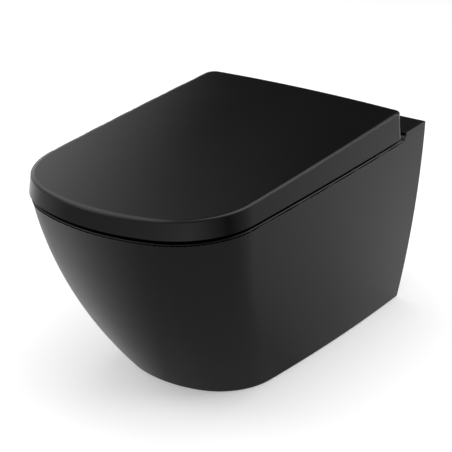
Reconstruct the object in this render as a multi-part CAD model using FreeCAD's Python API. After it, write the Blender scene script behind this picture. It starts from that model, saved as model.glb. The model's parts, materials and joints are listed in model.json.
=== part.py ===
import FreeCAD, Part
import math
import os
from FreeCAD import Placement, Rotation, Vector

# Wall hung toilet with a wrap-over seat and lid.
# Frame: +Z up, the wall is the plane Y = 0, the bowl points to -Y, X = 0 is the plane of symmetry.
# The origin lies on the wall, midway between the two wall studs.

doc = FreeCAD.newDocument("WallHungToilet")
sheet = doc.addObject("Spreadsheet::Sheet", "Sizes")

SIZES = {
    # pan, outer form
    "pan_projection": 596.0,      # wall to the front of the rim
    "rim_half": 175.9,            # half width of the rim at the wall
    "rim_taper": -0.019,          # how fast the rim narrows at the wall; below zero it widens
    "rim_side_radius": 9900.0,
    "rim_corner_radius": 122.5,
    "rim_front_radius": 280.0,
    "pan_height": 306.0,          # rim above the underside
    "rim_level": 80.0,            # rim above the wall studs
    "base_projection": 435.0,
    "base_half": 140.0,
    "base_taper": -0.006,
    "base_side_radius": 2860.0,
    "base_corner_radius": 98.0,
    "base_front_radius": 179.5,
    "side_bulge": 0.66,
    "front_bulge": 0.625,
    "deck_step": 6.6,             # deck behind the lid, above the rim
    "deck_depth": 62.0,
    "deck_fillet": 5.0,
    "skin": 11.0,                 # ceramic wall of the skirt
    "slab": 16.0,                 # ceramic under the rim
    "rim_round": 4.5,
    "base_round": 3.5,
    # bowl and trap
    "bowl_half": 126.0,
    "bowl_centre": 380.0,
    "bowl_front": 168.0,
    "bowl_rear": 166.0,
    "bowl_wall": 9.0,
    "sump_depth": 262.0,          # rim to the bottom of the sump
    "trap_bore": 54.0,
    "trap_wall": 9.0,
    "trap_bend": 45.0,
    "trap_level": -153.0,         # centre of the passage under the dip
    # wall interfaces
    "stud_spacing": 180.0,
    "stud_bore": 12.6,
    "inlet_level": 35.0,
    "inlet_bore": 55.0,
    "inlet_depth": 36.0,
    "inlet_wall": 9.0,
    "flush_bore": 38.0,
    "outlet_level": -100.0,
    "outlet_diameter": 102.0,
    "outlet_wall": 8.0,
    "outlet_length": 55.0,
    "outlet_setback": 3.0,
    # hidden wall fixing
    "clamp_width": 48.0,
    "clamp_thick": 22.0,
    "web_front": 44.0,
    "web_thick": 14.0,
    "neck_width": 36.0,
    "neck_height": 32.0,
    "sleeve_diameter": 20.0,
    "clamp_screw": 8.0,
    "fit_gap": 0.2,
    # seat hinges
    "hinge_spacing": 155.0,
    "barrel_gap": 1.5,            # hinge barrels below the lid's ceiling
    "axis_back": 16.0,            # hinge axis in front of the lid's rear face
    "axle_diameter": 8.0,
    "barrel_diameter": 19.0,
    "running_gap": 0.05,
    "plate_diameter": 33.0,
    "plate_thick": 3.0,
    "pin_diameter": 12.0,
    "pin_rise": 14.0,
    "bolt_diameter": 6.0,
    "bolt_length": 46.0,
    "hole_diameter": 14.0,
    "body_front": 15.0,
    "body_back": 7.5,
    "body_inner": 19.5,           # hinge housing, from the locating pin towards X = 0
    "body_outer": 14.5,
    "button_diameter": 10.0,
    "button_travel": 2.5,
    "latch_thick": 2.0,
    "ear_gap": 1.0,
    "short_ear": 12.0,
    "long_ear": 40.0,
    "damper_diameter": 13.0,
    "damper_length": 34.0,
    "bush_diameter": 12.0,
    # lid
    "lid_overhang": 2.25,         # lid skirt outside the rim
    "lid_rear": 70.0,
    "lid_rear_corner": 18.5,
    "lid_gap": 3.2,               # lid skirt above the rim
    "lid_front_height": 27.0,
    "lid_wedge": 18.6,            # how much higher the lid is at the rear
    "lid_draft": 3.2,
    "lid_round": 5.8,
    "lid_wall": 4.7,
    "lid_top": 4.5,
    # seat
    "seat_clear": 5.0,            # seat inside the lid skirt
    "seat_rise": 4.0,             # seat above the rim
    "seat_front_thick": 14.5,
    "seat_wedge": 16.0,
    "seat_rear_gap": 21.0,        # rear edge of the seat ring in front of the axis
    "seat_hole_half": 112.0,
    "seat_hole_front": 150.0,
    "seat_hole_rear": 146.0,
    "buffer_diameter": 14.0,
    "rest_gap": 0.2,
}
for row, (alias, value) in enumerate(SIZES.items(), start=1):
    sheet.set(f"A{row}", alias)
    sheet.set(f"B{row}", repr(value))
    sheet.setAlias(f"B{row}", alias)
doc.recompute()


def size(alias):
    return float(sheet.get(alias))


RIM = size("rim_level")
BASE = RIM - size("pan_height")
HINGE_X = size("hinge_spacing") / 2
AXIS_Y = -(size("lid_rear") + size("axis_back"))
X, Y, Z = Vector(1, 0, 0), Vector(0, 1, 0), Vector(0, 0, 1)
FAR = 1000.0
pieces = []


def piece(shape_object, label):
    shape_object.Label = label
    pieces.append(shape_object)
    return shape_object


def feature(label, shape, at):
    """Adds the shape as its own object, whose placement carries it to its seat."""
    back = FreeCAD.Matrix()
    back.move(-at)
    moved = shape.copy()
    moved.transformShape(back, True)
    made = doc.addObject("Part::Feature", label)
    made.Shape = moved
    made.Placement = Placement(at, Rotation()).multiply(moved.Placement)
    return piece(made, label)


def rod(start, direction, radius, length):
    return Part.makeCylinder(radius, length, start, direction)


def block(low, high):
    return Part.makeBox(high.x - low.x, high.y - low.y, high.z - low.z, low)


def mirrored(shape):
    return shape.mirror(Vector(0, 0, 0), X)


# ---------------------------------------------------------------- plan outlines

def circle_meeting(c1, r1, c2, r2):
    """Point at r1 from c1 and r2 from c2, the one nearer the front of the bowl."""
    gap = c2 - c1
    d = gap.Length
    along = (r1 * r1 - r2 * r2 + d * d) / (2 * d)
    across = math.sqrt(r1 * r1 - along * along)
    u = gap / d
    first = c1 + u * along + Vector(u.y, -u.x, 0) * across
    second = c1 + u * along - Vector(u.y, -u.x, 0) * across
    return first if first.y < second.y else second


def d_outline(half, taper, side_radius, corner_radius, front_radius, projection, inset, rear, rear_corner=0.0):
    """Plan outline of tangent arcs, moved inwards by inset, as a rear edge and the curve round the rest."""
    lean = math.atan(taper)
    side_centre = Vector(half - side_radius * math.cos(lean), side_radius * math.sin(lean), 0)
    front_centre = Vector(0, front_radius - projection, 0)
    corner_centre = circle_meeting(side_centre, side_radius - corner_radius,
                                   front_centre, front_radius - corner_radius)
    to_side = (corner_centre - side_centre).normalize()
    to_front = (corner_centre - front_centre).normalize()
    side_end = side_centre + to_side * (side_radius - inset)
    front_end = front_centre + to_front * (front_radius - inset)
    reach = side_radius - inset
    right = []
    if rear_corner > inset + 0.5:
        centre_y = rear + inset - rear_corner
        centre_x = side_centre.x + math.sqrt((side_radius - rear_corner) ** 2 - (centre_y - side_centre.y) ** 2)
        rear_centre = Vector(centre_x, centre_y, 0)
        outwards = (rear_centre - side_centre).normalize()
        start = side_centre + outwards * reach
        rear_start = Vector(centre_x, rear, 0)
        rear_mid = rear_centre + (outwards + Y).normalize() * (rear_corner - inset)
        right.append(Part.Arc(rear_start, rear_mid, start).toShape())
    else:
        rear_x = side_centre.x + math.sqrt(reach ** 2 - (rear - side_centre.y) ** 2)
        start = rear_start = Vector(rear_x, rear, 0)
    side_mid = side_centre + ((start - side_centre) + (side_end - side_centre)).normalize() * reach
    corner_mid = corner_centre + (to_side + to_front).normalize() * (corner_radius - inset)
    right.append(Part.Arc(start, side_mid, side_end).toShape())
    right.append(Part.Arc(side_end, corner_mid, front_end).toShape())
    left = [mirrored(edge) for edge in reversed(right)]
    front_left = Vector(-front_end.x, front_end.y, 0)
    front = Part.Arc(front_end, Vector(0, inset - projection, 0), front_left).toShape()
    curve = Part.Wire(right + [front] + left).approximate(0.01, 0.01, 60, 5)
    rear_edge = Part.LineSegment(curve.EndPoint, curve.StartPoint).toShape()
    return Part.Wire([rear_edge, curve.toShape()])


def raised(wire, z, tilt=0.0, hinge_line=0.0):
    """The outline at height z, on a plane that climbs towards the wall from the line Y = hinge_line."""
    slope = FreeCAD.Matrix()
    slope.A32 = tilt
    slope.A34 = z - tilt * hinge_line
    return wire.transformGeometry(slope)


def loft(sections, ruled=False):
    return Part.makeLoft(sections, True, ruled)


def quarter_round(radius, steps=3):
    """Rise and inset of the points of a rounded edge, from the side face to the flat."""
    angles = [math.pi / 2 * k / steps for k in range(steps + 1)]
    return [(radius * math.sin(a), radius * (1 - math.cos(a))) for a in angles]


def pan_outline(z, inset=0.0, rear=0.0):
    """Outside of the ceramic at height z: wide at the rim, small at the base, both bulging outwards."""
    t = min((z - BASE) / size("pan_height"), 1.0)
    side = (1 + size("side_bulge")) * t - size("side_bulge") * t * t
    front = (1 + size("front_bulge")) * t - size("front_bulge") * t * t

    def mix(low, high, k):
        return size(low) + (size(high) - size(low)) * k

    wire = d_outline(mix("base_half", "rim_half", side), mix("base_taper", "rim_taper", t),
                     mix("base_side_radius", "rim_side_radius", t),
                     mix("base_corner_radius", "rim_corner_radius", t),
                     mix("base_front_radius", "rim_front_radius", t),
                     mix("base_projection", "pan_projection", front), inset, rear)
    return raised(wire, z)


def egg(z, centre, half, front, rear):
    """Two half ellipses that share their widest line, the longer one towards the front."""
    mid = Vector(0, -centre, z)

    def half_ellipse(reach, facing):
        long_axis = max(reach, half)
        ellipse = Part.Ellipse(Vector(0, 0, 0), long_axis, min(reach, half))
        turn = 90 if reach > half else 0
        curve = Part.Arc(ellipse, math.radians(0 - turn), math.radians(180 - turn))
        edge = curve.toShape()
        edge.rotate(Vector(0, 0, 0), Z, turn)
        if facing < 0:
            edge.rotate(Vector(0, 0, 0), Z, 180)
        edge.translate(mid)
        return edge

    return Part.Wire([half_ellipse(rear, 1), half_ellipse(front, -1)])


# ---------------------------------------------------------------- ceramic pan

def pan_skirt():
    """Solid outer form: lofted sides, rounded lower and upper edges and the raised deck at the wall."""
    low, high = BASE + size("base_round"), RIM - size("rim_round")
    sides = loft([pan_outline(low + (high - low) * k / 5) for k in range(6)])
    foot_rounds = reversed(quarter_round(size("base_round")))
    foot = loft([pan_outline(low - rise, inset) for rise, inset in foot_rounds])
    rim = loft([pan_outline(high + rise, inset) for rise, inset in quarter_round(size("rim_round"))])
    step_start = -size("deck_depth") - size("deck_fillet")
    behind = block(Vector(-FAR, step_start, -FAR), Vector(FAR, FAR, FAR))
    rim = rim.cut(behind)
    deck = loft([pan_outline(high), pan_outline(RIM + size("deck_step"))]).common(behind)
    cutter = block(Vector(-FAR, -FAR, RIM), Vector(FAR, -size("deck_depth"), FAR))
    foot_line = [edge for edge in cutter.Edges
                 if abs(edge.CenterOfMass.y + size("deck_depth")) < 1 and abs(edge.CenterOfMass.z - RIM) < 1]
    deck = deck.cut(cutter.makeFillet(size("deck_fillet"), foot_line))
    return sides.fuse(foot).fuse(rim).fuse(deck)


def pan_cavity():
    low, high = BASE + size("skin"), RIM - size("slab")
    levels = [low + (high - low) * k / 4 for k in range(5)]
    return loft([pan_outline(z, size("skin"), 5.0) for z in levels])


def bowl_form(grow):
    """Inside of the bowl from rim to sump, or with grow its outside."""
    half, centre = size("bowl_half"), size("bowl_centre")
    front, rear = size("bowl_front"), size("bowl_rear")
    depth = size("sump_depth")
    bottom = RIM - depth
    sections = [
        egg(RIM + 30, centre, half + 2 + grow, front + 2 + grow, rear + 2 + grow),
        egg(RIM - 0.14 * depth, centre, half - 4 + grow, front - 6 + grow, rear - 6 + grow),
        egg(RIM - 0.32 * depth, centre, half * 0.82 + grow, front * 0.77 + grow, rear * 0.78 + grow),
        egg(RIM - 0.52 * depth, centre - 12, half * 0.60 + grow, front * 0.50 + grow, rear * 0.50 + grow),
        egg(RIM - 0.74 * depth, centre - 34, half * 0.40 + grow, front * 0.32 + grow, rear * 0.30 + grow),
        egg(bottom - grow, centre - 46, half * 0.33 + grow, front * 0.26 + grow, rear * 0.25 + grow),
    ]
    return Part.makeLoft(sections, True, False)


def trap_path():
    """Centre line of the trap: under the dip, up over the weir and down to the outlet."""
    bend = size("trap_bend")
    level = size("trap_level")
    rise = math.radians(55)
    fall = math.radians(45)
    start = Vector(0, -size("bowl_centre") + 46, level)
    turn_up = Vector(0, -285, level)
    centre_up = turn_up + Z * bend
    leave_up = centre_up + Vector(0, math.sin(rise), -math.cos(rise)) * bend
    climb = Vector(0, math.cos(rise), math.sin(rise)) * 75
    reach_weir = leave_up + climb
    centre_weir = reach_weir + Vector(0, math.sin(rise), -math.cos(rise)) * bend
    leave_weir = centre_weir + Vector(0, math.sin(fall), math.cos(fall)) * bend
    drop = leave_weir.z - (size("outlet_level") + bend * (1 - math.cos(fall)))
    reach_out = leave_weir + Vector(0, drop / math.tan(fall), -drop)
    centre_out = reach_out + Vector(0, math.sin(fall), math.cos(fall)) * bend
    level_out = centre_out - Z * bend
    up_mid = centre_up + Vector(0, math.sin(rise / 2), -math.cos(rise / 2)) * bend
    weir_mid_angle = (fall - rise) / 2
    weir_mid = centre_weir + Vector(0, math.sin(weir_mid_angle), math.cos(weir_mid_angle)) * bend
    out_mid = centre_out - Vector(0, math.sin(fall / 2), math.cos(fall / 2)) * bend
    edges = [
        Part.LineSegment(start, turn_up).toShape(),
        Part.Arc(turn_up, up_mid, leave_up).toShape(),
        Part.LineSegment(leave_up, reach_weir).toShape(),
        Part.Arc(reach_weir, weir_mid, leave_weir).toShape(),
        Part.LineSegment(leave_weir, reach_out).toShape(),
        Part.Arc(reach_out, out_mid, level_out).toShape(),
    ]
    return Part.Wire(edges), start, level_out


def trap_form(grow):
    """The passage of the trap and the outlet, or with grow its outside."""
    path, start, end = trap_path()
    radius = size("trap_bore") / 2 + grow
    profile = Part.Wire(Part.makeCircle(radius, start, Y))
    tube = path.makePipeShell([profile], True, False)
    outer = size("outlet_diameter") / 2
    wide = outer if grow else outer - size("outlet_wall")
    tail = -size("outlet_setback") if grow else 5.0
    swell_end = -size("outlet_length")
    cone = Part.makeCone(radius, wide, swell_end - end.y, end, Y)
    spigot = rod(Vector(0, swell_end, end.z), Y, wide, tail - swell_end)
    return tube.fuse([cone, spigot])


def flush_form(grow):
    """Inlet socket at the wall and the duct to the back of the bowl, or with grow its outside."""
    level = size("inlet_level")
    socket_radius = size("inlet_bore") / 2 + (size("inlet_wall") if grow else 0)
    duct_radius = size("flush_bore") / 2 + (size("bowl_wall") if grow else 0)
    depth = size("inlet_depth") + (size("inlet_wall") if grow else 0)
    lead = 0.0 if grow else 5.0
    socket = rod(Vector(0, lead, level), -Y, socket_radius, depth + lead)
    reach = size("bowl_centre") - size("bowl_rear") + (20 if grow else 25)
    duct = rod(Vector(0, -size("inlet_depth"), level), -Y, duct_radius, reach - size("inlet_depth"))
    return socket.fuse(duct)


def fixing_webs(skirt):
    """Upright ceramic webs behind the wall that the clamps pull on, with a window for each clamp."""
    front, thick = size("web_front"), size("web_thick")
    web = block(Vector(52, -front, -42), Vector(FAR, thick - front, RIM - 2)).common(skirt)
    half_x = size("neck_width") / 2 + 1.0
    half_z = size("neck_height") / 2 + 1.0
    stud_x = size("stud_spacing") / 2
    window = block(Vector(stud_x - half_x, -FAR, -half_z), Vector(stud_x + half_x, FAR, half_z))
    web = web.cut(window)
    return [web, mirrored(web)]


def ceramic_pan():
    skirt = pan_skirt()
    shell = skirt.cut(pan_cavity())
    below_rim = block(Vector(-FAR, -FAR, BASE + 4), Vector(FAR, 0, RIM - size("slab") / 2))
    inside = skirt.common(below_rim)
    solids = [bowl_form(size("bowl_wall")).common(below_rim), trap_form(size("trap_wall")),
              flush_form(True)] + fixing_webs(inside)
    pan = shell.fuse(solids)
    pan = pan.cut([bowl_form(0.0), trap_form(0.0), flush_form(False)] + pan_holes())
    return pan


def pan_holes():
    """Two holes for the seat bolts and two in the underside that lead to the clamp screws."""
    holes = []
    for side in (-1, 1):
        holes.append(rod(Vector(side * HINGE_X, AXIS_Y, RIM - 60), Z, size("hole_diameter") / 2, 120))
        access = Vector(side * size("stud_spacing") / 2, -55, BASE - 5)
        holes.append(rod(access, Z, 9.0, size("skin") + 10))
    return holes


# ---------------------------------------------------------------- lid

LID_LOW = RIM + size("lid_gap")
LID_HIGH = LID_LOW + size("lid_front_height")
LID_FRONT = -size("pan_projection") - size("lid_overhang")
LID_TILT = size("lid_wedge") / (-size("lid_rear") - LID_FRONT)
SEAT_LOW = RIM + size("seat_rise")
SEAT_HIGH = SEAT_LOW + size("seat_front_thick")
SEAT_TILT = size("seat_wedge") / (-size("lid_rear") - LID_FRONT)
AXLE_RADIUS = size("axle_diameter") / 2
BARREL_RADIUS = size("barrel_diameter") / 2
EAR_START = HINGE_X + size("body_outer") + size("ear_gap")


def rim_outline(inset, rear, rear_corner):
    """Outline of the rim moved inwards by inset, as far back as rear."""
    return d_outline(size("rim_half"), size("rim_taper"), size("rim_side_radius"), size("rim_corner_radius"),
                     size("rim_front_radius"), size("pan_projection"), inset, rear, rear_corner)


def lid_outline(inset=0.0):
    overhang = size("lid_overhang")
    return rim_outline(inset - overhang, -size("lid_rear") - inset, size("lid_rear_corner") - overhang)


def ceiling(y):
    """Height of the lid's underside."""
    return LID_HIGH - size("lid_top") + LID_TILT * (y - LID_FRONT)


AXIS_Z = ceiling(AXIS_Y) - BARREL_RADIUS - size("barrel_gap")


def seat_top(y):
    return SEAT_HIGH + SEAT_TILT * (y - LID_FRONT)


def barrel(first_x, last_x, radius):
    return rod(Vector(first_x, AXIS_Y, AXIS_Z), X, radius, last_x - first_x)


def rear_relief():
    """Wedge cut off the lid's lower rear corners, which would meet the raised deck as the lid turns."""
    radius = AXIS_Z - LID_LOW
    low = Vector(-FAR, AXIS_Y + radius * math.sin(math.radians(12)), LID_LOW)
    turn = math.asin((size("axis_back") + 0.5) / radius)
    high = Vector(-FAR, AXIS_Y + radius * math.sin(turn), AXIS_Z - radius * math.cos(turn))
    reach = (high - low) * 0.7
    corners = [low - reach, high + reach, Vector(-FAR, (high + reach).y, (low - reach).z)]
    return Part.Face(Part.makePolygon(corners + [corners[0]])).extrude(X * 2 * FAR)


def lid_shell():
    draft, wall = size("lid_draft"), size("lid_wall")
    shoulder = LID_HIGH - size("lid_round")
    skirt = loft([raised(lid_outline(), LID_LOW), raised(lid_outline(draft), shoulder, LID_TILT, LID_FRONT)], True)
    edge = loft([raised(lid_outline(draft + inset), shoulder + rise, LID_TILT, LID_FRONT)
                 for rise, inset in quarter_round(size("lid_round"))])
    inside = loft([raised(lid_outline(wall), LID_LOW - 1),
                   raised(lid_outline(wall + draft), LID_HIGH - size("lid_top"), LID_TILT, LID_FRONT)], True)
    outside = skirt.fuse(edge).cut(rear_relief())
    window_half = size("rim_half") + size("lid_overhang") - size("lid_rear_corner") + 2
    rear_window = block(Vector(-window_half, -size("lid_rear") - draft - wall - 1, LID_LOW - 5),
                        Vector(window_half, 10, ceiling(-size("lid_rear")) - 0.3))
    shell = outside.cut(inside).cut(rear_window)
    ears, bores = [], []
    for first, last, bore in lid_ears():
        ears.append(barrel(first, last, BARREL_RADIUS))
        ears.append(block(Vector(first, AXIS_Y - 6, AXIS_Z), Vector(last, AXIS_Y + 6, ceiling(AXIS_Y) + 2)))
        bores.append(barrel(first - 1, last + 1, bore))
    return shell.fuse(ears).cut(bores)


def lid_ears():
    """Ends and bore radius of the lid's ears: long on the right for its damper, short on the left."""
    right = EAR_START + size("short_ear") + size("ear_gap")
    left = -(EAR_START + size("long_ear") + size("ear_gap"))
    gap = size("fit_gap") / 2
    return [(right, right + size("long_ear"), size("damper_diameter") / 2 + gap),
            (left - size("short_ear"), left, size("bush_diameter") / 2 + gap)]


def seat_ears():
    """Ends and bore radius of the seat's ears: short on the right, long on the left for its damper."""
    gap = size("fit_gap") / 2
    return [(EAR_START, EAR_START + size("short_ear"), size("bush_diameter") / 2 + gap),
            (-EAR_START - size("long_ear"), -EAR_START, size("damper_diameter") / 2 + gap)]


def tube(first_x, last_x, outer, inner):
    return barrel(first_x, last_x, outer).cut(barrel(first_x - 1, last_x + 1, inner))


def bush(ears):
    first, last, bore = min(ears, key=lambda ear: ear[1] - ear[0])
    return tube(first, last, size("bush_diameter") / 2, AXLE_RADIUS + size("running_gap"))


def damper(ears):
    first, last, bore = max(ears, key=lambda ear: ear[1] - ear[0])
    spare = (size("long_ear") - size("damper_length")) / 2
    return tube(first + spare, last - spare, size("damper_diameter") / 2, AXLE_RADIUS + size("running_gap"))


def buffers(places, low, high):
    pads = [rod(Vector(x, y, low(y)), Z, size("buffer_diameter") / 2, high(y) - low(y)) for x, y in places]
    return Part.makeCompound(pads)


def lid_buffers():
    places = [(side * x, y) for x, y in ((112, -515), (140, -225)) for side in (-1, 1)]
    reach = size("buffer_diameter") / 2
    return buffers(places, lambda y: seat_top(y + reach) + size("rest_gap"), lambda y: ceiling(y - reach))


# ---------------------------------------------------------------- seat

def seat_ring():
    inset = size("lid_wall") + size("lid_draft") + size("seat_clear") - size("lid_overhang")
    rear = AXIS_Y - size("seat_rear_gap")

    def outline(extra):
        return rim_outline(inset + extra, rear - extra, inset + 22)

    edge_round = 5.0
    shoulder = SEAT_HIGH - edge_round
    sides = loft([raised(outline(0), SEAT_LOW), raised(outline(0), shoulder, SEAT_TILT, LID_FRONT)], True)
    top = loft([raised(outline(inset_by), shoulder + rise, SEAT_TILT, LID_FRONT)
                for rise, inset_by in quarter_round(edge_round)])
    centre, half = size("bowl_centre"), size("seat_hole_half")
    front, back = size("seat_hole_front"), size("seat_hole_rear")
    hole = Part.makeLoft([egg(SEAT_LOW - 2, centre, half, front, back),
                          egg(SEAT_LOW + 5, centre, half, front, back),
                          egg(SEAT_LOW + 10, centre, half + 1, front + 1, back + 1),
                          egg(SEAT_HIGH + 8, centre, half + 9, front + 9, back + 9)], True, False)
    ring = sides.fuse(top).cut(hole)
    ears, bores = [], []
    for first, last, bore in seat_ears():
        ears.append(barrel(first, last, BARREL_RADIUS))
        ears.append(block(Vector(first, rear - 8, SEAT_LOW + 9), Vector(last, AXIS_Y, seat_top(rear) - 1)))
        bores.append(barrel(first - 1, last + 1, bore))
    return ring.fuse(ears).cut(bores)


def seat_buffers():
    places = [(side * x, y) for x, y in ((112, -500), (140, -200)) for side in (-1, 1)]
    return buffers(places, lambda y: RIM + size("rest_gap"), lambda y: SEAT_LOW)


# ---------------------------------------------------------------- hinges, right hand side

PIN_RADIUS = size("pin_diameter") / 2
PLATE_TOP = RIM + size("plate_thick")
PIN_TOP = PLATE_TOP + size("pin_rise")
LATCH_LOW = PLATE_TOP + 7.0
BODY_INNER_X = HINGE_X - size("body_inner")
BODY_OUTER_X = HINGE_X + size("body_outer")
BUTTON_POCKET = 7.0
BUTTON_RADIUS = size("button_diameter") / 2
BUTTON_CAP = 5.0
STEM_RADIUS = 2.0
CLEAR = 0.3
AXLE_START = BODY_INNER_X + 3
LATCH_HIGH = LATCH_LOW + size("latch_thick")
LATCH_MID = LATCH_LOW + size("latch_thick") / 2
LATCH_START = BODY_INNER_X + BUTTON_POCKET + 1.8
LATCH_END = HINGE_X + PIN_RADIUS + 2.5
LATCH_FRONT = -PIN_RADIUS - 2.6
LATCH_BACK = PIN_RADIUS - 1.1


def hinge_plate():
    plate = rod(Vector(HINGE_X, AXIS_Y, RIM), Z, size("plate_diameter") / 2, size("plate_thick"))
    rim_edge = [edge for edge in plate.Edges if abs(edge.BoundBox.ZMin - PLATE_TOP) < 0.01]
    plate = plate.makeChamfer(1.0, rim_edge)
    return plate.cut(rod(Vector(HINGE_X, AXIS_Y, RIM - 1), Z, size("bolt_diameter") / 2 + 0.1, 10))


def fixing_pin():
    """Locating pin with a latch groove, on the bolt that goes down through the pan."""
    shank = size("bolt_diameter") / 2
    groove = PIN_RADIUS - 1.0
    outline = [(0, PLATE_TOP - size("bolt_length")), (shank, PLATE_TOP - size("bolt_length")),
               (shank, PLATE_TOP), (PIN_RADIUS, PLATE_TOP), (PIN_RADIUS, LATCH_LOW - 0.3),
               (groove, LATCH_LOW - 0.3), (groove, LATCH_LOW + size("latch_thick") + 0.3),
               (PIN_RADIUS, LATCH_LOW + size("latch_thick") + 0.3), (PIN_RADIUS, PIN_TOP - 1.5),
               (PIN_RADIUS - 1.5, PIN_TOP), (0, PIN_TOP)]
    points = [Vector(HINGE_X + r, AXIS_Y, z) for r, z in outline]
    face = Part.Face(Part.makePolygon(points + [points[0]]))
    return face.revolve(Vector(HINGE_X, AXIS_Y, 0), Z, 360)


def expansion_plug():
    shank = size("bolt_diameter") / 2 + 0.1
    body = size("hole_diameter") / 2 - 0.1
    under = RIM - size("slab")
    outline = [(shank, RIM - 0.2), (body, RIM - 0.2), (body, under), (body + 2, under - 5),
               (body - 0.5, under - 12), (shank, under - 12)]
    points = [Vector(HINGE_X + r, AXIS_Y, z) for r, z in outline]
    face = Part.Face(Part.makePolygon(points + [points[0]]))
    return face.revolve(Vector(HINGE_X, AXIS_Y, 0), Z, 360)


def hexagon(centre, across_flats, height):
    radius = across_flats / math.sqrt(3)
    corners = [centre + Vector(math.cos(math.pi / 3 * k), math.sin(math.pi / 3 * k), 0) * radius for k in range(7)]
    return Part.Face(Part.makePolygon(corners)).extrude(Z * height)


def plug_nut():
    top = RIM - size("slab") - 12
    nut = hexagon(Vector(HINGE_X, AXIS_Y, top - 6), 12, 6)
    return nut.cut(rod(Vector(HINGE_X, AXIS_Y, top - 10), Z, size("bolt_diameter") / 2 + 0.05, 20))


def hinge_body():
    """Housing over the locating pin, with the axle bore above and the button pocket facing X = 0."""
    back, front = AXIS_Y + size("body_back"), AXIS_Y - size("body_front")
    low = PLATE_TOP + CLEAR
    foot = block(Vector(BODY_INNER_X, front, low), Vector(BODY_OUTER_X, back, AXIS_Z - 6))
    upright = [edge for edge in foot.Edges if edge.BoundBox.ZMax - edge.BoundBox.ZMin > 5]
    foot = foot.makeFillet(3.0, upright)
    body = foot.fuse(barrel(BODY_INNER_X, BODY_OUTER_X, BARREL_RADIUS))
    socket = rod(Vector(HINGE_X, AXIS_Y, low - 1), Z, PIN_RADIUS + size("running_gap"), PIN_TOP + 1.3 - low)
    axle_bore = barrel(AXLE_START, BODY_OUTER_X + 1, AXLE_RADIUS + size("running_gap"))
    pocket = rod(Vector(BODY_INNER_X - 1, AXIS_Y, LATCH_MID), X, BUTTON_RADIUS + CLEAR, BUTTON_POCKET + 1)
    slot = block(Vector(LATCH_START - CLEAR, AXIS_Y + LATCH_FRONT - CLEAR, LATCH_LOW - CLEAR),
                 Vector(LATCH_END + size("button_travel") + CLEAR, AXIS_Y + LATCH_BACK + CLEAR,
                        LATCH_HIGH + CLEAR))
    stem_hole = rod(Vector(BODY_INNER_X, AXIS_Y, LATCH_MID), X, STEM_RADIUS + size("running_gap"),
                    LATCH_START + 1 + size("button_travel") + CLEAR - BODY_INNER_X)
    return body.cut([socket, axle_bore, pocket, slot, stem_hole])


def release_button():
    """Push button, its stem, and the latch plate that passes in front of the locating pin."""
    cap_end = BODY_INNER_X + size("button_travel")
    cap = rod(Vector(cap_end, AXIS_Y, LATCH_MID), -X, BUTTON_RADIUS, BUTTON_CAP)
    front_edge = [edge for edge in cap.Edges if edge.BoundBox.XMax < cap_end - BUTTON_CAP + 0.1]
    cap = cap.makeFillet(1.0, front_edge)
    stem = rod(Vector(cap_end - 1, AXIS_Y, LATCH_MID), X, STEM_RADIUS, LATCH_START + 1 - cap_end + 1)
    hub_end = HINGE_X - PIN_RADIUS - CLEAR - size("button_travel")
    hub = block(Vector(LATCH_START, AXIS_Y + LATCH_FRONT, LATCH_LOW),
                Vector(hub_end, AXIS_Y + STEM_RADIUS + 1, LATCH_HIGH))
    rail = block(Vector(LATCH_START, AXIS_Y + LATCH_FRONT, LATCH_LOW),
                 Vector(LATCH_END, AXIS_Y - PIN_RADIUS - CLEAR, LATCH_HIGH))
    finger = block(Vector(HINGE_X + PIN_RADIUS + CLEAR, AXIS_Y + LATCH_FRONT, LATCH_LOW),
                   Vector(LATCH_END, AXIS_Y + LATCH_BACK, LATCH_HIGH))
    return cap.fuse([stem, hub, rail, finger])


def button_spring():
    """Coil between the button's back and the floor of its pocket."""
    wire = 0.25
    start = BODY_INNER_X + size("button_travel") + wire + size("running_gap")
    end = BODY_INNER_X + BUTTON_POCKET - wire - size("running_gap")
    radius = BUTTON_RADIUS - 1.5
    helix = Part.makeHelix((end - start) / 3, end - start, radius)
    corners = [Vector(radius + wire * math.cos(math.pi / 3 * k), 0, wire * math.sin(math.pi / 3 * k))
               for k in range(7)]
    coil = Part.Wire(helix).makePipeShell([Part.makePolygon(corners)], True, True)
    coil.Placement = Placement(Vector(start, AXIS_Y, LATCH_MID), Rotation(Z, X))
    return coil


def axle():
    start = AXLE_START + size("running_gap")
    end = EAR_START + size("short_ear") + size("ear_gap") + size("long_ear") + 1
    rounded = barrel(start, end, AXLE_RADIUS)
    return rounded.makeChamfer(0.6, [edge for edge in rounded.Edges if edge.Length < 30])


# ---------------------------------------------------------------- wall fixing, right hand side

STUD_X = size("stud_spacing") / 2
SLEEVE_RADIUS = size("sleeve_diameter") / 2
SCREW_Y = -size("web_front") - size("clamp_thick") / 2


def fixing_clamp():
    """Flange behind the ceramic web, neck through its window to the wall, bored for the stud sleeve."""
    half = size("clamp_width") / 2
    high = half - 2
    front, back = -size("web_front") - size("clamp_thick"), -size("web_front")
    flange = block(Vector(STUD_X - half, front, -high), Vector(STUD_X + half, back, high))
    along = [edge for edge in flange.Edges if edge.BoundBox.YMax - edge.BoundBox.YMin > 5]
    flange = flange.makeFillet(4.0, along)
    neck = block(Vector(STUD_X - size("neck_width") / 2, back - 1, -size("neck_height") / 2),
                 Vector(STUD_X + size("neck_width") / 2, -0.5, size("neck_height") / 2))
    clamp = flange.fuse(neck)
    bore = rod(Vector(STUD_X, front - 1, 0), Y, SLEEVE_RADIUS + size("fit_gap") / 2, 100)
    screw_hole = rod(Vector(STUD_X, SCREW_Y, -high - 1), Z,
                     size("clamp_screw") / 2 + size("running_gap"), high)
    return clamp.cut([bore, screw_hole])


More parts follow.
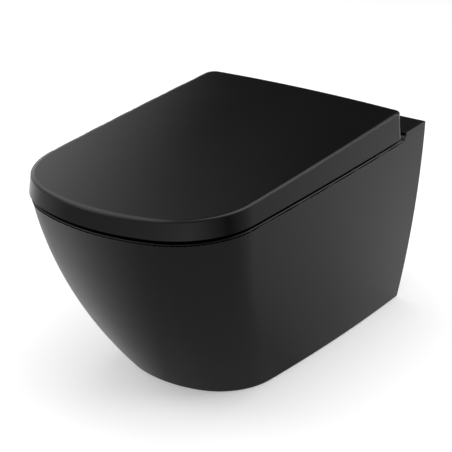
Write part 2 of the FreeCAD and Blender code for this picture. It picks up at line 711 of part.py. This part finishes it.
def stud_sleeve():
    sleeve = rod(Vector(STUD_X, -size("web_front") - size("clamp_thick") - 4, 0), Y, SLEEVE_RADIUS,
                 size("web_front") + size("clamp_thick") + 4)
    return sleeve.cut(rod(Vector(STUD_X, -FAR, 0), Y, size("stud_bore") / 2, 2 * FAR))


def clamp_screw():
    """Screw driven up through the clamp against the sleeve."""
    under = 2 - size("clamp_width") / 2
    shank = rod(Vector(STUD_X, SCREW_Y, under - 1), Z, size("clamp_screw") / 2, -SLEEVE_RADIUS - 0.2 - under + 1)
    head = rod(Vector(STUD_X, SCREW_Y, under - 8), Z, 6.5, 8)
    socket = hexagon(Vector(STUD_X, SCREW_Y, under - 9), 6, 5)
    return shank.fuse(head).cut(socket)


# ---------------------------------------------------------------- pieces

def both(shape):
    return Part.makeCompound([shape, mirrored(shape)])


def build():
    plate_seat = Vector(0, AXIS_Y, RIM)
    axis = Vector(0, AXIS_Y, AXIS_Z)
    right_stud, left_stud = Vector(STUD_X, 0, 0), Vector(-STUD_X, 0, 0)
    right_pin, left_pin = Vector(HINGE_X, AXIS_Y, PLATE_TOP), Vector(-HINGE_X, AXIS_Y, PLATE_TOP)
    right_button = Vector(BODY_INNER_X, AXIS_Y, LATCH_MID)
    left_button = Vector(-BODY_INNER_X, AXIS_Y, LATCH_MID)

    feature("ceramic_pan", ceramic_pan(), Vector(0, 0, RIM))
    clamp = fixing_clamp()
    feature("fixing_clamp_right", clamp, right_stud)
    feature("fixing_clamp_left", mirrored(clamp), left_stud)
    feature("stud_sleeves", both(stud_sleeve()), Vector(0, 0, 0))
    feature("clamp_screws", both(clamp_screw()), Vector(0, SCREW_Y, 0))
    feature("hinge_plates", both(hinge_plate()), plate_seat)
    feature("fixing_pins", both(fixing_pin()), plate_seat)
    feature("expansion_plugs", both(expansion_plug()), plate_seat)
    feature("plug_nuts", both(plug_nut()), plate_seat)

    body, spring, button, shaft = hinge_body(), button_spring(), release_button(), axle()
    feature("hinge_body_right", body, right_pin)
    feature("hinge_body_left", mirrored(body), left_pin)
    feature("axle_right", shaft, axis)
    feature("axle_left", mirrored(shaft), axis)
    feature("button_spring_right", spring, right_button)
    feature("button_spring_left", mirrored(spring), left_button)
    feature("release_button_right", button, right_button)
    feature("release_button_left", mirrored(button), left_button)

    feature("seat_ring", seat_ring(), axis)
    feature("seat_bush", bush(seat_ears()), axis)
    feature("seat_damper", damper(seat_ears()), axis)
    feature("seat_buffers", seat_buffers(), axis)
    feature("lid_shell", lid_shell(), axis)
    feature("lid_bush", bush(lid_ears()), axis)
    feature("lid_damper", damper(lid_ears()), axis)
    feature("lid_buffers", lid_buffers(), axis)


build()
doc.recompute()
os.makedirs("parts", exist_ok=True)
for made in pieces:
    if "Invalid" in made.State or "Error" in made.State:
        raise RuntimeError(f"{made.Label} did not compute")
    if made.Shape.isNull() or not made.Shape.isValid():
        raise RuntimeError(f"{made.Label} is not a valid shape")
    made.Shape.exportStep(f"parts/{made.Label}.step")
    print(made.Label, round(made.Shape.Volume), len(made.Shape.Faces), len(made.Shape.Solids))
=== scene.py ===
import json
import math

import bmesh
import bpy
from mathutils import Matrix, Vector
from mathutils.bvhtree import BVHTree
from mathutils.geometry import barycentric_transform

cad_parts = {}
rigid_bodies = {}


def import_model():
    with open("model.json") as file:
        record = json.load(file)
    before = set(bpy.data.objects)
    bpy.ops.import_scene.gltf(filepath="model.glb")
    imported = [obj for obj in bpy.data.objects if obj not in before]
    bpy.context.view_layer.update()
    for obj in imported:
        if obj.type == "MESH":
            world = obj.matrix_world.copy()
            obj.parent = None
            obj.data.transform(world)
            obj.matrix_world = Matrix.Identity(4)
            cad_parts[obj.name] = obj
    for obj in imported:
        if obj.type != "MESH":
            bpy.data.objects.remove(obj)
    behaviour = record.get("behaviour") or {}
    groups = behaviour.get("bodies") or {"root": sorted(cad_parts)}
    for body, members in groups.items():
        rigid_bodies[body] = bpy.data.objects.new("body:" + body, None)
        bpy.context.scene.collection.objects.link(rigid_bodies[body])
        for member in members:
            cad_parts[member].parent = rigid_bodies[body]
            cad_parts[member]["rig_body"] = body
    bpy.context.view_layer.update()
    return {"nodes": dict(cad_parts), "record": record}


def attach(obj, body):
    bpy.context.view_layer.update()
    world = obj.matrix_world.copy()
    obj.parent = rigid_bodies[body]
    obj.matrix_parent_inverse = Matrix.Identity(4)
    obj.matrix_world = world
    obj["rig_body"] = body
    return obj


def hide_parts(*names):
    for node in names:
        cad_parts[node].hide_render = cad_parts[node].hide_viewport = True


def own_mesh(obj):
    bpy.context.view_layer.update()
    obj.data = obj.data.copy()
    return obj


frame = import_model()

BASE = -0.226                 # underside of the ceramic


# ---------------------------------------------------------------- camera

# The photograph's own viewpoint, from the camera fitted to the outlines. Angles are in degrees.
PHOTO_SIDE = 452              # pixels
SENSOR = 36                   # millimetres
AZIMUTH, ELEVATION, ROLL = 34.984, 23.987, -0.175
CAMERA_DISTANCE = 2.22744
CAMERA_TARGET = (0, -0.260, -0.036)
TARGET_PIXEL = (235.138, 224.113)
FOCAL_PIXELS = 1482.62


def photo_camera():
    azimuth, elevation, roll = (math.radians(angle) for angle in (AZIMUTH, ELEVATION, ROLL))
    back = Vector((math.sin(azimuth) * math.cos(elevation), -math.cos(azimuth) * math.cos(elevation),
                   math.sin(elevation)))
    right = Vector((math.cos(azimuth), math.sin(azimuth), 0))
    up = back.cross(right)
    right, up = (right * math.cos(roll) + up * math.sin(roll), up * math.cos(roll) - right * math.sin(roll))
    data = bpy.data.cameras.new("photo_view")
    data.sensor_width = SENSOR
    data.lens = FOCAL_PIXELS * SENSOR / PHOTO_SIDE
    data.shift_x = -(TARGET_PIXEL[0] - PHOTO_SIDE / 2) / PHOTO_SIDE
    data.shift_y = (TARGET_PIXEL[1] - PHOTO_SIDE / 2) / PHOTO_SIDE
    data.clip_end = 50
    camera = bpy.data.objects.new("photo_view", data)
    camera.matrix_world = Matrix((right, up, back)).transposed().to_4x4()
    camera.location = Vector(CAMERA_TARGET) + back * CAMERA_DISTANCE
    bpy.context.scene.collection.objects.link(camera)
    bpy.context.scene.camera = camera


# ---------------------------------------------------------------- node trees

def socket_of(value):
    return value.outputs[0] if hasattr(value, "outputs") else value


class Graph:
    """Short hand for a node tree: each call adds a node and links or sets its inputs."""

    def __init__(self, tree):
        self.tree = tree

    def add(self, kind, inputs=None, **settings):
        node = self.tree.nodes.new(kind)
        for name, value in settings.items():
            setattr(node, name, value)
        for name, value in (inputs or {}).items():
            target = node.inputs[name]
            if hasattr(value, "outputs") or isinstance(value, bpy.types.NodeSocket):
                self.link(value, target)
            else:
                target.default_value = value
        return node

    def link(self, source, target):
        self.tree.links.new(socket_of(source), target)

    def ramp(self, factor, stops):
        node = self.add("ShaderNodeValToRGB", {"Fac": factor})
        elements = node.color_ramp.elements
        for index, (position, grey) in enumerate(stops):
            element = elements[index] if index < 2 else elements.new(position)
            element.position = position
            element.color = (grey, grey, grey, 1)
        return node

    def maths(self, operation, first, second=0.0):
        return self.add("ShaderNodeMath", {0: first, 1: second}, operation=operation)

    def blend(self, factor, first, second):
        """Number that goes from the first to the second with the factor."""
        return self.add("ShaderNodeMix", {"Factor": factor, 2: first, 3: second}, data_type="FLOAT")

    def between(self, value, low, high):
        """Factor that goes from 0 to 1 while the value goes from low to high."""
        return self.add("ShaderNodeMapRange", {"Value": value, "From Min": low, "From Max": high})


# ---------------------------------------------------------------- finishes

# The skin that all finishes share. The scales are of noise textures on places in metres.
UNEVEN_SCALE, GRAIN_SCALE, SPECK_SCALE = 9.0, 900.0, 420.0
UNEVENNESS, GRAIN_SWING = 0.05, 0.06           # of the roughness
GRAIN_HEIGHT = 0.25                            # of the grain's relief against that of the unevenness
SPECKS = [(0.70, 0.0), (0.78, 1.0)]
DUST = 0.02
DUST_COLOUR = (0.3, 0.3, 0.3, 1)

FINE_RELIEF, COARSE_RELIEF = 0.00004, 0.0001   # metres
GLAZED_EDGE = 0.002                            # radius that light finds on the ceramic's edges
BLACK = (0.0022, 0.0022, 0.0023)

# Of each slot: the material's name, colour and roughness, and what else differs from the plain finish.
FINISHES = {
    "pan_ceramic": ("satin_black_glaze", BLACK, 0.30, {"edge": GLAZED_EDGE}),
    "clamp_nylon": ("natural_nylon", (0.62, 0.60, 0.54), 0.5, {"relief": COARSE_RELIEF}),
    "sleeve_plastic": ("moulded_grey", (0.5, 0.5, 0.48), 0.45, {}),
    "zinc_steel": ("zinc_plate", (0.55, 0.55, 0.53), 0.35, {"metallic": 1.0}),
    "hinge_metal": ("turned_steel", (0.5, 0.5, 0.51), 0.25, {"metallic": 1.0}),
    "plug_rubber": ("plug_rubber", (0.02, 0.02, 0.02), 0.8, {}),
    "hinge_plastic": ("hinge_moulding", (0.012, 0.012, 0.013), 0.42, {}),
    "axle_steel": ("ground_steel", (0.5, 0.5, 0.5), 0.2, {"metallic": 1.0}),
    "spring_steel": ("spring_wire", (0.45, 0.45, 0.46), 0.3, {"metallic": 1.0}),
    "button_plastic": ("button_moulding", (0.03, 0.03, 0.032), 0.4, {}),
    "seat_resin": ("satin_black_seat", BLACK, 0.26, {}),
    "damper_plastic": ("grey_acetal", (0.3, 0.3, 0.31), 0.4, {}),
    "buffer_rubber": ("buffer_rubber", (0.03, 0.03, 0.03), 0.7, {}),
    "lid_resin": ("satin_black_lid", BLACK, 0.19, {}),
}


def satin_surface_group():
    """Satin skin: slow unevenness of the surface, a fine grain, and a little dust."""
    tree = bpy.data.node_groups.new("satin_surface", "ShaderNodeTree")
    for way in ("INPUT", "OUTPUT"):
        tree.interface.new_socket("Colour", in_out=way, socket_type="NodeSocketColor")
        tree.interface.new_socket("Roughness", in_out=way, socket_type="NodeSocketFloat")
    tree.interface.new_socket("Height", in_out="OUTPUT", socket_type="NodeSocketFloat")
    g = Graph(tree)
    given, out = g.add("NodeGroupInput"), g.add("NodeGroupOutput")

    place = g.add("ShaderNodeTexCoord").outputs["Object"]
    slow = g.add("ShaderNodeTexNoise", {"Vector": place, "Scale": UNEVEN_SCALE, "Detail": 3.0,
                                        "Roughness": 0.5}).outputs["Fac"]
    fine = g.add("ShaderNodeTexNoise", {"Vector": place, "Scale": GRAIN_SCALE, "Detail": 2.0,
                                        "Roughness": 0.6}).outputs["Fac"]
    specks = g.add("ShaderNodeTexNoise", {"Vector": place, "Scale": SPECK_SCALE, "Detail": 1.0})

    drift = g.maths("MULTIPLY", g.maths("SUBTRACT", slow, 0.5), UNEVENNESS)
    grain = g.maths("MULTIPLY", g.maths("SUBTRACT", fine, 0.5), GRAIN_SWING)
    rough = g.maths("ADD", g.maths("ADD", drift, given.outputs["Roughness"]), grain)
    speck_mask = g.ramp(specks.outputs["Fac"], SPECKS)
    dust = g.maths("MULTIPLY", g.maths("MULTIPLY", speck_mask, slow), DUST)
    colour = g.add("ShaderNodeMix", {"Factor": dust, 6: given.outputs["Colour"], 7: DUST_COLOUR},
                   data_type="RGBA")
    height = g.maths("ADD", g.maths("MULTIPLY", fine, GRAIN_HEIGHT), slow)

    g.link(colour.outputs[2], out.inputs["Colour"])
    g.link(rough, out.inputs["Roughness"])
    g.link(height, out.inputs["Height"])
    return tree


def material(name):
    made = bpy.data.materials.new(name)
    made.use_nodes = True
    made.node_tree.nodes.clear()
    graph = Graph(made.node_tree)
    shader = graph.add("ShaderNodeBsdfPrincipled")
    output = graph.add("ShaderNodeOutputMaterial")
    graph.link(shader.outputs[0], output.inputs[0])
    return made, graph, shader


def satin_material(surface, name, colour, roughness, relief=FINE_RELIEF, edge=0.0, metallic=0.0):
    made, g, shader = material(name)
    skin = g.add("ShaderNodeGroup", {"Colour": (*colour, 1), "Roughness": roughness}, node_tree=surface)
    bump = g.add("ShaderNodeBump", {"Height": skin.outputs["Height"], "Distance": relief, "Strength": 1.0})
    if edge:
        g.link(g.add("ShaderNodeBevel", {"Radius": edge}, samples=8), bump.inputs["Normal"])
    g.link(skin.outputs["Colour"], shader.inputs["Base Color"])
    g.link(skin.outputs["Roughness"], shader.inputs["Roughness"])
    g.link(bump.outputs[0], shader.inputs["Normal"])
    shader.inputs["Metallic"].default_value = metallic
    return made


# ---------------------------------------------------------------- light and floor

# What the object mirrors, by compass bearing in degrees: 0 in front of it, 90 to its right.
SKY_LOW = [(-180, 0.02), (-168, 0.02), (-158, 0.04), (-150, 0.02), (-142, 0.02), (-137, 0.40),
           (-131, 1.05), (-115, 0.9), (-95, 0.7), (-65, 0.5), (-40, 0.9), (-5, 0.3), (30, 0.35),
           (60, 0.20), (100, 0.25), (128, 0.40), (140, 2.0), (160, 2.0), (170, 0.15), (180, 0.02)]
SKY_HIGH = [(-180, 0.15), (-150, 0.04), (-110, 1.40), (-60, 1.5), (-20, 1.1), (20, 0.4), (60, 0.3),
            (110, 0.3), (150, 0.5), (180, 0.15)]
SKY_STRIP = [(-180, 1.0), (-160, 0.0), (110, 0.0), (140, 1.3), (180, 1.0)]
# Painted light and shade on the floor, seen only by mirrored rays: bright pools and dark patches by bearing,
# near the middle and farther off.
PAINTED_FLOOR_NEAR = [(-180, 0.86), (-135, 0.84), (-90, 0.66), (-45, 0.76), (0, 0.26), (45, 0.27), (90, 0.23),
              (135, 0.40), (180, 0.86)]
PAINTED_FLOOR_FAR = [(-180, 0.80), (-135, 0.80), (-90, 0.80), (-45, 0.20), (0, 0.40), (45, 0.62), (90, 0.04),
             (135, 0.42), (180, 0.80)]
RAMP_TOP = 2.0                # brightness at the white end of a ramp

SKY_RISE = (0.40, 0.55)       # sine of the height over which SKY_LOW turns into SKY_HIGH
STRIP_RISE = (0.54, 0.62)     # and over which SKY_STRIP comes on top
SKY_FILL = 0.55               # what the sky gives to matt surfaces
FLOOR_SIDE = 24
FLOOR_MIDDLE = 0.3            # middle of the mirrored floor, in front of the wall
FLOOR_REACH = (0.7, 1.1)      # distance from the middle over which the near painted light and shade turns into the far
FLOOR_WHITE = 0.66            # the floor's colour, but for mirrored rays
FLOOR_GLOW = 0.36             # its own light, for the camera only
PAINTED_GLOW_SHARE = 0.50         # share of the floor's painted light and shade that mirrored rays get as a painted glow, the rest as colour

# Name, place, target, width, height and power.
LAMPS = [
    ("soft_left", (-2.4, -1.2, 1.5), (0, -0.3, -0.1), 1.8, 1.8, 30),
    ("soft_right", (2.4, 0.6, 1.4), (0, -0.3, -0.1), 1.6, 1.6, 26),
    ("soft_top", (0.1, -0.6, 2.8), (0, -0.3, 0), 2.6, 2.6, 55),
]


def area_light(name, place, target, width, height, power):
    """A soft light that mirrored rays don't see."""
    data = bpy.data.lights.new(name, "AREA")
    data.shape = "RECTANGLE"
    data.size, data.size_y = width, height
    data.energy = power
    lamp = bpy.data.objects.new(name, data)
    lamp.visible_glossy = False
    lamp.location = place
    lamp.rotation_euler = (Vector(target) - Vector(place)).to_track_quat("-Z", "Y").to_euler()
    bpy.context.scene.collection.objects.link(lamp)


def bearing_of(g, x, y):
    return g.maths("ARCTAN2", x, g.maths("MULTIPLY", y, -1.0))


def by_bearing(g, bearing, stops):
    """Brightness of the surroundings at a bearing, from the stops of one of the lists above."""
    turn = g.between(bearing, -math.pi, math.pi)
    parts = [((degrees + 180) / 360, value / RAMP_TOP) for degrees, value in stops]
    return g.maths("MULTIPLY", g.ramp(turn, parts).outputs["Color"], RAMP_TOP)


def white_floor():
    """White for the camera. A mirrored ray finds painted light and shade on the floor, by bearing and
    distance, partly as colour and partly as a painted glow.
    """
    bpy.ops.mesh.primitive_plane_add(size=FLOOR_SIDE, location=(0, 0, BASE))
    floor = bpy.context.object
    floor.name = "floor"
    made, g, shader = material("floor_white")
    rays = g.add("ShaderNodeLightPath")
    place = g.add("ShaderNodeSeparateXYZ", {0: g.add("ShaderNodeTexCoord").outputs["Object"]})
    depth = g.maths("ADD", place.outputs[1], FLOOR_MIDDLE)
    bearing = bearing_of(g, place.outputs[0], depth)
    ground = g.add("ShaderNodeCombineXYZ", {0: place.outputs[0], 1: depth})
    reach = g.add("ShaderNodeVectorMath", {0: ground}, operation="LENGTH").outputs["Value"]
    painted_light = g.blend(g.between(reach, *FLOOR_REACH), by_bearing(g, bearing, PAINTED_FLOOR_NEAR),
                      by_bearing(g, bearing, PAINTED_FLOOR_FAR))

    # The painted light and shade, half as the floor's colour and half as a painted glow, for mirrored rays
    # only.
    painted_colour = g.maths("MULTIPLY", painted_light, 1 - PAINTED_GLOW_SHARE)
    tone = g.blend(rays.outputs["Is Glossy Ray"], FLOOR_WHITE, painted_colour)
    g.link(g.add("ShaderNodeCombineColor", {0: tone, 1: tone, 2: tone}), shader.inputs["Base Color"])
    painted_light_mirrored = g.maths("MULTIPLY", painted_light, rays.outputs["Is Glossy Ray"])
    glow = g.maths("ADD", g.maths("MULTIPLY", rays.outputs["Is Camera Ray"], FLOOR_GLOW),
                   g.maths("MULTIPLY", painted_light_mirrored, PAINTED_GLOW_SHARE))
    g.link(glow, shader.inputs["Emission Strength"])
    shader.inputs["Emission Color"].default_value = (1, 1, 1, 1)
    shader.inputs["Roughness"].default_value = 0.9
    shader.inputs["Specular IOR Level"].default_value = 0.0
    floor.data.materials.append(made)


def surroundings():
    """White for the camera, an even fill for matt surfaces, and a brightness by bearing for mirrored rays."""
    world = bpy.data.worlds.new("studio")
    world.use_nodes = True
    tree = world.node_tree
    tree.nodes.clear()
    g = Graph(tree)
    rays = g.add("ShaderNodeLightPath")
    way = g.add("ShaderNodeSeparateXYZ", {0: g.add("ShaderNodeTexCoord").outputs["Generated"]})
    bearing = bearing_of(g, way.outputs[0], way.outputs[1])
    even = g.blend(g.between(way.outputs[2], *SKY_RISE), by_bearing(g, bearing, SKY_LOW),
                   by_bearing(g, bearing, SKY_HIGH))
    strip = g.maths("MULTIPLY", g.between(way.outputs[2], *STRIP_RISE), by_bearing(g, bearing, SKY_STRIP))
    seen = g.blend(rays.outputs["Is Glossy Ray"], SKY_FILL, g.maths("ADD", strip, even))
    white = g.maths("MAXIMUM", rays.outputs["Is Camera Ray"], rays.outputs["Is Transmission Ray"])
    sky = g.add("ShaderNodeBackground", {"Color": (1, 1, 1, 1), "Strength": g.blend(white, seen, 1.0)})
    g.link(sky, g.add("ShaderNodeOutputWorld").inputs[0])
    bpy.context.scene.world = world


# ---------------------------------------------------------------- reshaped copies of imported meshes

WELD = 0.00002
INWARD = 0.02                 # share of the way to a face's middle at which its normal is looked up
AXES = [Vector((1, 0, 0)), Vector((0, 1, 0)), Vector((0, 0, 1))]

# The lid's top before it is domed: the plane that it rises along to the rear.
LID_FRONT_Y, LID_REAR_Y = -0.59825, -0.070
LID_TOP_FRONT, LID_TOP_RISE = 0.1098, 0.0186
LID_TOP_SLOPE = LID_TOP_RISE / (LID_REAR_Y - LID_FRONT_Y)
LID_HALF = 0.180
LID_DOME = 0.0038             # how much lower the long sides are than the middle
DOME_DEPTH = 0.0045           # depth under the top where the dome starts to act
DOME_GROWTH = 0.003           # height over which it comes to act fully
DOME_FLOOR = 0.09             # level under which it never acts
LID_CUTS, CUT_SPACING = 17, 0.01      # cuts each side of the middle, which let the top bend

RIM = 0.080                   # level of the rim that the seat closes on
RIM_LOW, RIM_HIGH = RIM - 0.0045, RIM + 0.0003
RIM_DROP = 0.0026             # how far its outer edge falls away, which opens the shadow under the lid
EDGE_REAR, EDGE_FRONT, EDGE_SIDE = 0.05, 0.575, 0.155
CORNER_START = 0.45
CORNER_CENTRE, CORNER_RADIUS = (0.054, 0.4727), 0.10

SPRING_SEAT = 0.065           # where each spring's inner end rests, either side of the middle


def merged_copy(node):
    """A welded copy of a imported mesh, to be reshaped."""
    shape = bmesh.new()
    shape.from_mesh(frame["nodes"][node].data)
    bmesh.ops.remove_doubles(shape, verts=shape.verts, dist=WELD)
    return shape


def dome_share(place):
    """How far a point of the cover follows the dome: not at all on its walls, fully on its top."""
    top = LID_TOP_FRONT + LID_TOP_SLOPE * (place.y - LID_FRONT_Y)
    return min(max((place.z - (top - DOME_DEPTH)) / DOME_GROWTH, 0), 1) if place.z > DOME_FLOOR else 0


def moulded_normals(shape, mesh, domed=False):
    """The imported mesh's exact normals for each corner of a copy that isn't reshaped yet."""
    shape.faces.ensure_lookup_table()
    corners = [normal.vector.copy() for normal in mesh.corner_normals]
    faces = [tuple(face.vertices) for face in mesh.polygons]
    starts = [face.loop_start for face in mesh.polygons]
    points = [vertex.co.copy() for vertex in mesh.vertices]
    tree = BVHTree.FromPolygons(points, faces)
    normals = []
    for face in shape.faces:
        middle = face.calc_center_median()
        for loop in face.loops:
            place = loop.vert.co
            spot, _, found, _ = tree.find_nearest(place.lerp(middle, INWARD))
            triangle = [points[index] for index in faces[found]]
            weights = barycentric_transform(spot, *triangle, *AXES)
            start = starts[found]
            normal = sum((corners[start + k] * weights[k] for k in range(3)), Vector())
            if domed:
                normal.x += normal.z * 2 * LID_DOME * dome_share(place) * place.x / LID_HALF ** 2
            normals.append(normal.normalized())
    return normals


def stand_in(name, node, shape, normals=None):
    """Puts a reshaped copy in the place of its node, on the node's body and in its finish."""
    mesh = bpy.data.meshes.new(name)
    shape.to_mesh(mesh)
    shape.free()
    mesh.shade_smooth()
    if normals:
        mesh.normals_split_custom_set(normals)
    piece = bpy.data.objects.new(name, mesh)
    bpy.context.scene.collection.objects.link(piece)
    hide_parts(node)
    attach(piece, frame["nodes"][node]["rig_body"])
    mesh.materials.append(finishes[slots[node]])
    return piece


def on_outer_edge(place):
    """True for a point of the rim's outer edge."""
    across, ahead = abs(place.x), -place.y
    from_centre = math.hypot(across - CORNER_CENTRE[0], ahead - CORNER_CENTRE[1])
    corner = ahead > CORNER_START and from_centre > CORNER_RADIUS
    level = RIM_LOW < place.z < RIM_HIGH
    return level and ahead > EDGE_REAR and (across > EDGE_SIDE or ahead > EDGE_FRONT or corner)


def pan_body():
    """The pan with the outer edge of its rim falling away a little."""
    shape = merged_copy("ceramic_pan")
    normals = moulded_normals(shape, frame["nodes"]["ceramic_pan"].data)
    for vertex in shape.verts:
        if on_outer_edge(vertex.co):
            vertex.co.z -= RIM_DROP
    stand_in("pan_body", "ceramic_pan", shape, normals)


def domed_lid():
    """The closed cover with the shallow dome across its width that the moulding has."""
    shape = merged_copy("lid_shell")
    for step in range(-LID_CUTS, LID_CUTS + 1):
        bmesh.ops.bisect_plane(shape, geom=shape.verts[:] + shape.edges[:] + shape.faces[:],
                               plane_co=(step * CUT_SPACING, 0, 0), plane_no=(1, 0, 0))
    bmesh.ops.triangulate(shape, faces=shape.faces)
    normals = moulded_normals(shape, frame["nodes"]["lid_shell"].data, domed=True)
    for vertex in shape.verts:
        vertex.co.z -= LID_DOME * dome_share(vertex.co) * (vertex.co.x / LID_HALF) ** 2
    stand_in("lid_cover", "lid_shell", shape, normals)


def button_springs():
    """The two button springs as copies of their nodes, each with a mesh of its own."""
    for side, inner_end in (("right", SPRING_SEAT), ("left", -SPRING_SEAT)):
        node = "button_spring_" + side
        spring = stand_in("spring_coil_" + side, node, merged_copy(node))
        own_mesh(spring)


# ---------------------------------------------------------------- the scene

bpy.context.scene.view_settings.view_transform = "Standard"
photo_camera()
white_floor()
surroundings()
for lamp in LAMPS:
    area_light(*lamp)

surface = satin_surface_group()
finishes = {slot: satin_material(surface, name, colour, roughness, **rest)
            for slot, (name, colour, roughness, rest) in FINISHES.items()}
slots = {entry["node"]: entry["material_slot"] for entry in frame["record"]["subparts"]}
for node, obj in frame["nodes"].items():
    obj.data.materials.clear()
    obj.data.materials.append(finishes[slots[node]])
pan_body()
domed_lid()
button_springs()
